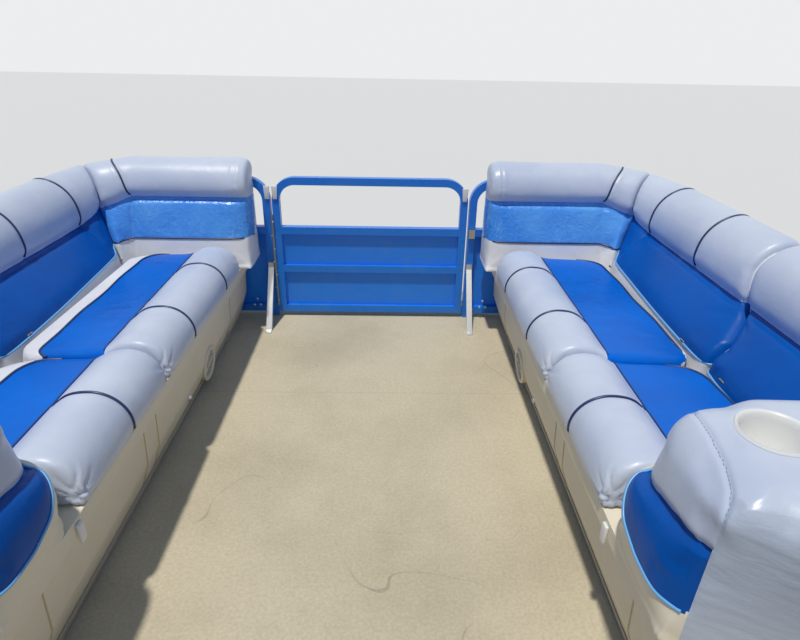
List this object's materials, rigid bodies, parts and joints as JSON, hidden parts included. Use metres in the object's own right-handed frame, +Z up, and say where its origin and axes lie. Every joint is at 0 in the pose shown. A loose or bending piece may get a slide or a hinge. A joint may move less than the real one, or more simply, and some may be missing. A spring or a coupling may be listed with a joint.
{
  "type": "pontoon boat",
  "caption": "Pontoon boat: round tubes under a flat fenced deck with gates, corner lounges, helm console, swivel chair, stern benches, folding ladder and tilting outboard motor.",
  "frame": {"origin": "on the ground midway along the boat's whole length and midway across its beam, where the keels stand", "axes": "+Z up, +Y to the bow along the boat, +X to starboard"},
  "size_m": [2.59, 7.6538, 1.98],
  "materials": {
    "hull_aluminium": "mill finish, lightly brushed",
    "trim_aluminium": "satin anodised",
    "deck_plywood": "sealed plywood",
    "deck_carpet": "matte woven covering",
    "fence_paint": "gloss blue",
    "panel_paint": "gloss blue sheet",
    "back_vinyl": "satin grained vinyl",
    "seat_vinyl": "satin grained vinyl",
    "base_plastic": "moulded, satin",
    "speaker_plastic": "moulded, satin",
    "white_plastic": "gloss",
    "black_plastic": "satin",
    "console_plastic": "moulded, semi-gloss",
    "screen_acrylic": "smoked clear sheet",
    "wheel_rubber": "soft grip",
    "stainless": "polished",
    "light_plastic": "gloss",
    "motor_paint": "satin dark grey",
    "cowl_plastic": "gloss dark grey",
    "engine_metal": "cast",
    "propeller_metal": "satin paint"
  },
  "bodies": {
    "hull": {"armrests": "back_vinyl", "bench_backs": "back_vinyl", "bench_bases": "base_plastic", "bow_backs": "back_vinyl", "bow_fence_frames": "fence_paint", "chair_pedestal": "trim_aluminium", "clamp_bracket": "motor_paint", "control_box": "black_plastic", "cross_members": "hull_aluminium", "cup_holders": "white_plastic", "deck_board": "deck_plywood", "deck_cleats": "stainless", "deck_covering": "deck_carpet", "deck_edge_trim": "trim_aluminium", "fence_panels": "panel_paint", "gate_braces": "hull_aluminium", "gate_hinges": "stainless", "gate_latches": "stainless", "helm_console": "console_plastic", "ladder_brackets": "stainless", "lounge_bases": "base_plastic", "motor_pod": "hull_aluminium", "navigation_lights": "light_plastic", "pontoon_tubes": "hull_aluminium", "riser_angles": "hull_aluminium", "seat_hinge_clips": "black_plastic", "side_backs": "back_vinyl", "speaker_grilles": "speaker_plastic", "stern_fence_frames": "fence_paint", "windscreen": "screen_acrylic"},
    "bow_gate": {"bow_gate_frame": "fence_paint", "bow_gate_sheet": "panel_paint"},
    "stern_gate": {"stern_gate_frame": "fence_paint", "stern_gate_sheet": "panel_paint"},
    "side_gate": {"side_gate_frame": "fence_paint", "side_gate_sheet": "panel_paint"},
    "starboard_front_lid": {"starboard_front_cushion": "seat_vinyl"},
    "starboard_rear_lid": {"starboard_rear_cushion": "seat_vinyl"},
    "port_front_lid": {"port_front_cushion": "seat_vinyl"},
    "port_rear_lid": {"port_rear_cushion": "seat_vinyl"},
    "starboard_bench_lid": {"starboard_bench_cushion": "seat_vinyl"},
    "port_bench_lid": {"port_bench_cushion": "seat_vinyl"},
    "helm_wheel": {"steering_wheel": "wheel_rubber"},
    "helm_chair": {"chair_seat": "seat_vinyl", "chair_back": "back_vinyl"},
    "motor_bracket": {"swivel_bracket": "motor_paint"},
    "motor": {"motor_leg": "motor_paint", "motor_cowl": "cowl_plastic", "engine_block": "engine_metal"},
    "propeller": {"propeller": "propeller_metal"},
    "ladder": {"boarding_ladder": "stainless"}
  },
  "joints": [
    {"name": "bow_gate_swing", "type": "hinge", "parent": "hull", "child": "bow_gate", "pos_m": [-0.424, 3.31694, 1.043], "axis": [0, 0, -1], "range_deg": [0, 90]},
    {"name": "stern_gate_swing", "type": "hinge", "parent": "hull", "child": "stern_gate", "pos_m": [-0.324, -1.99306, 1.043], "axis": [0, 0, 1], "range_deg": [0, 90]},
    {"name": "side_gate_swing", "type": "hinge", "parent": "hull", "child": "side_gate", "pos_m": [-1.23, 1.23794, 1.043], "axis": [0, 0, 1], "range_deg": [0, 90]},
    {"name": "starboard_front_lid_lift", "type": "hinge", "parent": "hull", "child": "starboard_front_lid", "pos_m": [0.953, 2.68944, 1.159], "axis": [0, 1, 0], "range_deg": [0, 85]},
    {"name": "starboard_rear_lid_lift", "type": "hinge", "parent": "hull", "child": "starboard_rear_lid", "pos_m": [0.953, 2.01944, 1.159], "axis": [0, 1, 0], "range_deg": [0, 85]},
    {"name": "port_front_lid_lift", "type": "hinge", "parent": "hull", "child": "port_front_lid", "pos_m": [-0.953, 2.68944, 1.159], "axis": [0, -1, 0], "range_deg": [0, 85]},
    {"name": "port_rear_lid_lift", "type": "hinge", "parent": "hull", "child": "port_rear_lid", "pos_m": [-0.953, 2.01944, 1.159], "axis": [0, -1, 0], "range_deg": [0, 85]},
    {"name": "starboard_bench_lid_lift", "type": "hinge", "parent": "hull", "child": "starboard_bench_lid", "pos_m": [0.805, -1.79406, 1.159], "axis": [1, 0, 0], "range_deg": [0, 85]},
    {"name": "port_bench_lid_lift", "type": "hinge", "parent": "hull", "child": "port_bench_lid", "pos_m": [-0.805, -1.79406, 1.159], "axis": [1, 0, 0], "range_deg": [0, 85]},
    {"name": "wheel_turn", "type": "hinge", "parent": "hull", "child": "helm_wheel", "pos_m": [0.86, 0.90811, 1.66402], "axis": [0, -0.7844, 0.6202], "range_deg": [-540, 540]},
    {"name": "chair_swivel", "type": "hinge", "parent": "hull", "child": "helm_chair", "pos_m": [0.86, 0.36694, 1.105], "axis": [0, 0, 1], "continuous": true},
    {"name": "motor_tilt", "type": "hinge", "parent": "hull", "child": "motor_bracket", "pos_m": [0, -2.85806, 0.72], "axis": [-1, 0, 0], "range_deg": [-60, 5]},
    {"name": "motor_steer", "type": "hinge", "parent": "motor_bracket", "child": "motor", "pos_m": [0, -2.92056, 0.82825], "axis": [0, 0.866, 0.5], "range_deg": [-30, 30]},
    {"name": "propeller_spin", "type": "hinge", "parent": "motor", "child": "propeller", "pos_m": [0, -3.73178, 0.83332], "axis": [0, -0.5, 0.866], "continuous": true},
    {"name": "ladder_fold", "type": "hinge", "parent": "hull", "child": "ladder", "pos_m": [0.89, -2.49106, 0.797], "axis": [1, 0, 0], "range_deg": [0, 205]}
  ],
  "couplings": [
    {"joint": "wheel_turn", "follows": "motor_steer", "ratio": -18}
  ]
}
